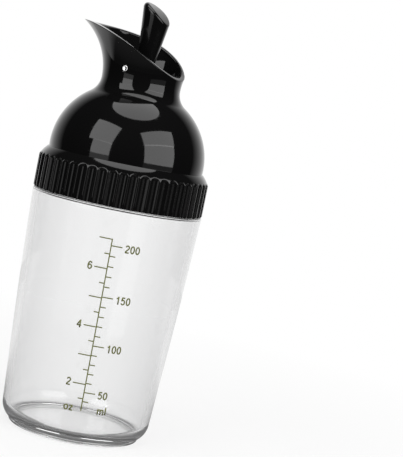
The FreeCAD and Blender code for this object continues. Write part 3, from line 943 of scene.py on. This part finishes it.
def make_dome():
    piece = lathe("spout_shell", dome_outline(), closed=True, steps=DOME_STEPS)
    shape_rim(piece)
    for group, width in (("inner_rim", RIM_ROUND), ("outer_rim", LIP_EDGE)):
        use_modifier(piece, "BEVEL", width=width, segments=RIM_SEGMENTS, limit_method="VGROUP",
                     vertex_group=group, use_clamp_overlap=False)
    hole = rod("pin_hole", PIN_RADIUS + PIN_RECESS, (0, -DOME_RADIUS, PIN_Z), (0, DOME_RADIUS, PIN_Z))
    combine(piece, hole, "DIFFERENCE")
    shade(piece, angle=40)
    fit(piece, "lid", ["spout_dome"], lid_black)


# Pin, lever and flap

def make_pin():
    piece = rod("steel_pin", PIN_RADIUS, (0, -PIN_HALF, PIN_Z), (0, PIN_HALF, PIN_Z), edge=PIN_EDGE)
    for face in piece.data.polygons:
        face.select = abs(face.normal.y) > PIN_END_FACING
    bpy.ops.object.mode_set(mode="EDIT")
    bpy.ops.mesh.select_mode(type="FACE")
    bpy.ops.mesh.inset(thickness=PIN_EDGE)
    bpy.ops.mesh.poke(offset=-PIN_DISH)
    bpy.ops.mesh.select_mode(type="VERT")
    end_edit()
    shade(piece, angle=30)
    fit(piece, "lid", ["pivot_pin"], pin_steel)


def pad_height(x):
    """Height of the crowned finger pad at a place from front to back."""
    stretch = OVERRUN / PAD_RUN
    front = (-PAD_FRONT - OVERRUN, LEVER_TOP_Z + PAD_FALL * stretch)
    back = (PAD_RUN - PAD_FRONT + OVERRUN, LEVER_TOP_Z - PAD_FALL - PAD_FALL * stretch)
    centre = arc_centre(Vector(front), Vector(back), PAD_ROUND, RIGHT)
    return centre.y + math.sqrt(PAD_ROUND ** 2 - (x - centre.x) ** 2)


def pad_corner(turn):
    """Where the stem's side meets the pad, and the two directions that leave that corner, in the stem's own
    upright plane at an angle round it. Places in that plane are (distance from the stem's middle, height)."""
    run = LEVER_TOP_Z + OVERRUN - STEM_LOW_Z
    widen, lean = (HEAD_RADIUS - STEM_RADIUS) / run, HEAD_OFFSET / run
    height = LEVER_TOP_Z
    for _ in range(SETTLE_ROUNDS):
        radius, middle = STEM_RADIUS + widen * (height - STEM_LOW_Z), lean * (height - STEM_LOW_Z)
        height = pad_height(middle + radius * math.cos(turn))
    x = middle + radius * math.cos(turn)
    fall = (pad_height(x + PAD_SLOPE_STEP) - pad_height(x)) / PAD_SLOPE_STEP
    down = Vector((-widen - lean * math.cos(turn), -1)).normalized()
    inward = Vector((-1, -fall * math.cos(turn))).normalized()
    return Vector((radius, height)), down, inward, middle


def stem_point(ring, turn):
    """Where a point of the plain bar goes, by its ring and its angle: its side out to the leaning cone, its
    edge round the pad's corner and its top to the pad."""
    corner, down, inward, middle = pad_corner(turn)
    half = down.angle(inward) / 2
    reach = PAD_EDGE / math.tan(half)
    first, last = corner + down * reach, corner + inward * reach
    centre = middle
    if ring <= SIDE_RINGS:
        share = ring / SIDE_RINGS
        place = Vector((STEM_RADIUS, STEM_LOW_Z)).lerp(first, share)
        centre = middle * (first.y - STEM_LOW_Z) / (corner.y - STEM_LOW_Z) * share
    elif ring <= SIDE_RINGS + EDGE_RINGS:
        share = (ring - SIDE_RINGS) / EDGE_RINGS
        hinge = corner + (down + inward).normalized() * (PAD_EDGE / math.sin(half))
        arm, other = first - hinge, last - hinge
        sweep = arm.angle(other)
        near, far = math.sin((1 - share) * sweep), math.sin(share * sweep)
        place = hinge + arm * (near / math.sin(sweep)) + other * (far / math.sin(sweep))
    else:
        share = (ring - SIDE_RINGS - EDGE_RINGS) / PAD_RINGS
        distance = last.x * (1 - share)
        place = Vector((distance, pad_height(middle + distance * math.cos(turn))))
    return centre + place.x * math.cos(turn), place.x * math.sin(turn), place.y


def make_stem():
    """The round bar that widens and leans back, cut off by the finger pad with a rounded edge."""
    outline = [(0, STEM_LOW_Z), (STEM_RADIUS, STEM_LOW_Z)]
    outline += along((STEM_RADIUS, STEM_LOW_Z), (STEM_RADIUS, LEVER_TOP_Z), SIDE_RINGS)
    edge_end = (STEM_RADIUS - PAD_EDGE, LEVER_TOP_Z + PAD_EDGE)
    outline += bend((STEM_RADIUS, LEVER_TOP_Z), edge_end, PAD_EDGE, LEFT, EDGE_RINGS)
    outline += along(outline[-1], (0, LEVER_TOP_Z + 2 * PAD_EDGE), PAD_RINGS)
    piece = lathe("pad_lever", outline, closed=False, steps=LEVER_STEPS)
    for vertex in piece.data.vertices:
        place = math.hypot(vertex.co.x, vertex.co.y), vertex.co.z
        ring = min(range(len(outline)), key=lambda index: math.dist(outline[index], place)) - 1
        if ring > 0:
            vertex.co = stem_point(ring, math.atan2(vertex.co.y, vertex.co.x))
    close_mesh(piece)
    return piece


def make_lever():
    piece = make_stem()
    half = HUB_WIDTH / 2
    hub = rod("hub", HUB_RADIUS, (0, -half, PIN_Z), (0, half, PIN_Z), edge=HUB_EDGE)
    combine(piece, hub, "UNION")
    plate = rod("plate", PLATE_RADIUS, (0, 0, PLATE_Z), (0, 0, PLATE_Z + PLATE_THICKNESS), edge=PLATE_EDGE,
                sides=RING_STEPS)
    combine(piece, plate, "UNION")
    bore = rod("bore", PIN_HOLE, (0, -DOME_RADIUS, PIN_Z), (0, DOME_RADIUS, PIN_Z))
    combine(piece, bore, "DIFFERENCE")
    socket = rod("socket", BOSS_RADIUS + BOSS_GAP, (0, 0, PLATE_Z - OVERRUN),
                 (0, 0, PLATE_Z + BOSS_RISE + BOSS_GAP))
    combine(piece, socket, "DIFFERENCE")
    shade(piece)
    fit(piece, "lever_flap", ["pour_lever"], lever_black)


def make_ring(name, node, inner, low, high, body):
    """A flat silicone ring with softened edges."""
    outline = [(inner, low.z), (high.x, low.z), (high.x, high.z), (inner, high.z)]
    piece = lathe(name, outline, closed=True, steps=RING_STEPS)
    soften(piece, SEAL_EDGE)
    shade(piece, angle=40)
    fit(piece, body, [node], silicone)


def make_disc():
    edge_z = seal_low.z - (seal_high.z - seal_low.z)
    depth = edge_z - disc_low.z
    bulge = (disc_high.x ** 2 + depth ** 2) / (2 * depth)
    outline = [(0, disc_low.z)] + bend((0, disc_low.z), (disc_high.x, edge_z), bulge, LEFT, ROUND_STEPS)
    outline += [(disc_high.x, seal_low.z), (BOSS_RADIUS, seal_low.z), (BOSS_RADIUS, disc_high.z),
                (0, disc_high.z)]
    piece = lathe("flap_disc", outline, closed=False, steps=RING_STEPS)
    soften(piece, SEAL_EDGE)
    shade(piece, angle=40)
    fit(piece, "lever_flap", ["valve_disc"], lid_black)


make_bottle()
make_scale()
make_collar()
make_ring("lid_gasket", "rim_gasket", NECK_BORE - GASKET_OVERHANG, gasket_low, gasket_high, "gasket_ring")
make_dome()
make_pin()
make_lever()
make_ring("flap_seal", "valve_seal", BOSS_RADIUS + BOSS_GAP, seal_low, seal_high, "lever_flap")
make_disc()


# Camera: it stands at the photograph's viewing angle and is turned so that the bottle leans in the frame.
PHOTO_WIDTH, PHOTO_HEIGHT = 403, 457
FOCAL_PIXELS = 1418.8
SENSOR_MM = 36.0
CAMERA_AZIMUTH = math.radians(27)
CAMERA_DISTANCE = 0.549
CAMERA_Z = 0.1369
CAMERA_ROLL = math.radians(11.25)
AIM_Z = 0.09175
AIM_PIXEL = (118.2, 198.9)


def towards(azimuth, elevation=0):
    """The direction from the bottle to a place in the studio, which is -Y at an azimuth of 0."""
    level = math.cos(elevation)
    return Vector((math.sin(azimuth) * level, -math.cos(azimuth) * level, math.sin(elevation)))


def place_camera():
    data = bpy.data.cameras.new("camera")
    data.sensor_width = SENSOR_MM
    data.lens = SENSOR_MM * FOCAL_PIXELS / PHOTO_HEIGHT
    camera = add_object("camera", data)
    camera.location = towards(CAMERA_AZIMUTH) * CAMERA_DISTANCE + Vector((0, 0, CAMERA_Z))
    aim = Vector((0, 0, AIM_Z)) - camera.location
    off = Vector((AIM_PIXEL[0] - PHOTO_WIDTH / 2, PHOTO_HEIGHT / 2 - AIM_PIXEL[1], -FOCAL_PIXELS))
    turn = aim.to_track_quat("-Z", "Y") @ Quaternion((0, 0, 1), CAMERA_ROLL)
    camera.rotation_mode = "QUATERNION"
    camera.rotation_quaternion = turn @ off.rotation_difference(Vector((0, 0, -1)))
    bpy.context.scene.camera = camera


# Studio: lamps to the left, to the right and above, a white backdrop and a small white floor
STUDIO_MIDDLE = Vector((0, 0, 0.11))
SOFTBOX_DISTANCE = 0.9
# Each lamp has its shape, its azimuth and elevation in degrees, its width and height, and its radiance.
SOFTBOXES = {
    "left_softbox": ("RECTANGLE", -16.5, 32, 0.60, 0.49, 2.7),
    "left_panel": ("RECTANGLE", -12.5, 7.3, 0.465, 0.31, 2.6),
    "left_strip": ("RECTANGLE", -12.5, -6.3, 0.465, 0.12, 0.65),
    "right_softbox": ("RECTANGLE", 75.5, 36.8, 0.78, 0.345, 2.5),
    "right_panel": ("RECTANGLE", 75.5, 12.3, 0.78, 0.475, 2.5),
    "right_strip": ("RECTANGLE", 75.5, -6.3, 0.78, 0.12, 0.2),
    "top_lamp": ("DISK", 27, 89, 0.80, 0.80, 2.3),
}
FLOOR_RADIUS = 0.4
FLOOR_SIDES = 96
FLOOR_GAP = 0.00005
FLOOR_GLOW = 0.8
FLOOR_TONE = 0.2
FLOOR_MOTTLE = 0.03
FLOOR_MOTTLE_SCALE = 30.0
FLOOR_MIRROR = (0.03, 0.75)
FLOOR_BACK = (0.02, 0.1)
FLOOR_FADE = (0.05, 0.3)
# Painted shadow: the floor's glow, as the clear plastic shows it, is lowered round and under the bottle's
# foot
FOOT_SHADE = 0.1
FOOT_FACES = 2.5
FOOT_SHADE_IN = (0.0205, 0.0228)
FOOT_SHADE_OUT = (0.0262, 0.032)
FOOT_UNDER = (0.0185, 0.0205)
FOOT_UNDER_GLOW = 0.6
AMBIENT = 0.12
DARK_ROOM = 0.012
BACKDROP_EDGE = (0.36, 0.86)
BACKDROP_DIP = math.radians(12)


def add_softbox(name, shape, azimuth, elevation, width, height, radiance):
    direction = towards(math.radians(azimuth), math.radians(elevation))
    data = bpy.data.lights.new(name, "AREA")
    data.shape = shape
    data.size, data.size_y = width, height
    area = width * height if shape == "RECTANGLE" else math.pi * width ** 2 / 4
    data.energy = radiance * math.pi * area
    lamp = add_object(name, data)
    lamp.location = STUDIO_MIDDLE + direction * SOFTBOX_DISTANCE
    lamp.rotation_mode = "QUATERNION"
    lamp.rotation_quaternion = (-direction).to_track_quat("-Z", "Y")
    lamp.visible_camera = False


def add_foot_shade(tree, ray, away):
    """How bright the floor is through clear plastic, with a painted shadow in its glow: dark along the ring
    that touches it, and through the foot ring alone, with its two faces, also dim under the rest of the
    bottle."""
    inside = add_range(tree, away, *FOOT_SHADE_IN, 1.0, FOOT_SHADE)
    outside = add_range(tree, away, *FOOT_SHADE_OUT, FOOT_SHADE, 1.0)
    under = add_range(tree, away, *FOOT_UNDER, FOOT_UNDER_GLOW, FOOT_SHADE)
    past_foot = add_math(tree, "GREATER_THAN", ray["Transmission Depth"], FOOT_FACES)
    inside = add_range(tree, past_foot, 0.0, 1.0, under, inside)
    return add_math(tree, "MAXIMUM", inside, outside)


def add_floor_glow(tree, place, away, fade):
    """White for the camera and the clear plastic. Gloss mirrors it white only behind the object."""
    ray = tree.nodes.new("ShaderNodeLightPath").outputs
    behind = add_vector_math(tree, "DOT_PRODUCT", place, -towards(CAMERA_AZIMUTH))
    mirror = add_range(tree, behind, *FLOOR_BACK, *FLOOR_MIRROR)
    mirrored = add_math(tree, "MULTIPLY", ray["Is Glossy Ray"], mirror)
    foot_shade = add_foot_shade(tree, ray, away)
    through = add_math(tree, "MULTIPLY", ray["Is Transmission Ray"], foot_shade)
    caught = add_math(tree, "MULTIPLY", add_caught_light(tree), CAUGHT_LEVEL)
    clear = add_math(tree, "MAXIMUM", through, caught)
    clear = add_math(tree, "MAXIMUM", ray["Is Camera Ray"], clear)
    level = add_range(tree, fade, 0.0, 1.0, FLOOR_GLOW, 1.0)
    glow = tree.nodes.new("ShaderNodeEmission")
    direct = add_math(tree, "MULTIPLY", clear, level)
    tree.links.new(add_math(tree, "MAXIMUM", mirrored, direct), glow.inputs["Strength"])
    return glow.outputs[0]


def build_floor_white():
    material, tree, shader, place = new_material("floor_white")
    tree.nodes.remove(shader)
    away = add_vector_math(tree, "LENGTH", place)
    fade = add_range(tree, away, *FLOOR_FADE, 0.0, 1.0)
    matt = tree.nodes.new("ShaderNodeBsdfDiffuse")
    mottle = add_noise(tree, place, FLOOR_MOTTLE_SCALE)
    tone = add_mix(tree, mottle, (FLOOR_TONE * (1 - FLOOR_MOTTLE),) * 3,
                   (FLOOR_TONE * (1 + FLOOR_MOTTLE),) * 3)
    tree.links.new(add_mix(tree, fade, tone, (0, 0, 0)), matt.inputs["Color"])
    both = tree.nodes.new("ShaderNodeAddShader")
    tree.links.new(add_floor_glow(tree, place, away, fade), both.inputs[0])
    tree.links.new(matt.outputs[0], both.inputs[1])
    # From below, the floor doesn't hide the bottle's foot.
    sides = tree.nodes.new("ShaderNodeMixShader")
    tree.links.new(tree.nodes.new("ShaderNodeNewGeometry").outputs["Backfacing"], sides.inputs["Fac"])
    tree.links.new(both.outputs[0], sides.inputs[1])
    tree.links.new(tree.nodes.new("ShaderNodeBsdfTransparent").outputs[0], sides.inputs[2])
    tree.links.new(sides.outputs[0], tree.nodes["Material Output"].inputs["Surface"])
    return material


def make_floor():
    deselect()
    bpy.ops.mesh.primitive_circle_add(vertices=FLOOR_SIDES, radius=FLOOR_RADIUS, fill_type="NGON",
                                      location=(0, 0, -FLOOR_GAP))
    apply_place()
    floor = name_active("floor")
    floor.data.materials.append(build_floor_white())


def light_world():
    """White behind the object and in what the camera and the clear plastic see, a dark room in front."""
    world = bpy.data.worlds.new("studio")
    world.use_nodes = True
    bpy.context.scene.world = world
    tree = world.node_tree
    ray = tree.nodes.new("ShaderNodeLightPath").outputs
    direction = tree.nodes.new("ShaderNodeTexCoord").outputs["Generated"]
    facing = add_vector_math(tree, "DOT_PRODUCT", direction, -towards(CAMERA_AZIMUTH, BACKDROP_DIP))
    backdrop = add_range(tree, facing, *BACKDROP_EDGE, DARK_ROOM, 1.0)
    mirrored = add_math(tree, "MULTIPLY", ray["Is Glossy Ray"], backdrop)
    clear = add_math(tree, "MAXIMUM", ray["Is Camera Ray"], ray["Is Transmission Ray"])
    caught = add_math(tree, "MULTIPLY", add_caught_light(tree), CAUGHT_LEVEL)
    clear = add_math(tree, "MAXIMUM", clear, caught)
    spread = add_math(tree, "MULTIPLY", ray["Is Diffuse Ray"], AMBIENT)
    level = add_math(tree, "MAXIMUM", add_math(tree, "MAXIMUM", mirrored, clear), spread)
    background = tree.nodes["Background"]
    background.inputs["Color"].default_value = (1, 1, 1, 1)
    tree.links.new(level, background.inputs["Strength"])


place_camera()
for softbox, settings in SOFTBOXES.items():
    add_softbox(softbox, *settings)
make_floor()
light_world()
bpy.context.scene.view_settings.view_transform = "Standard"
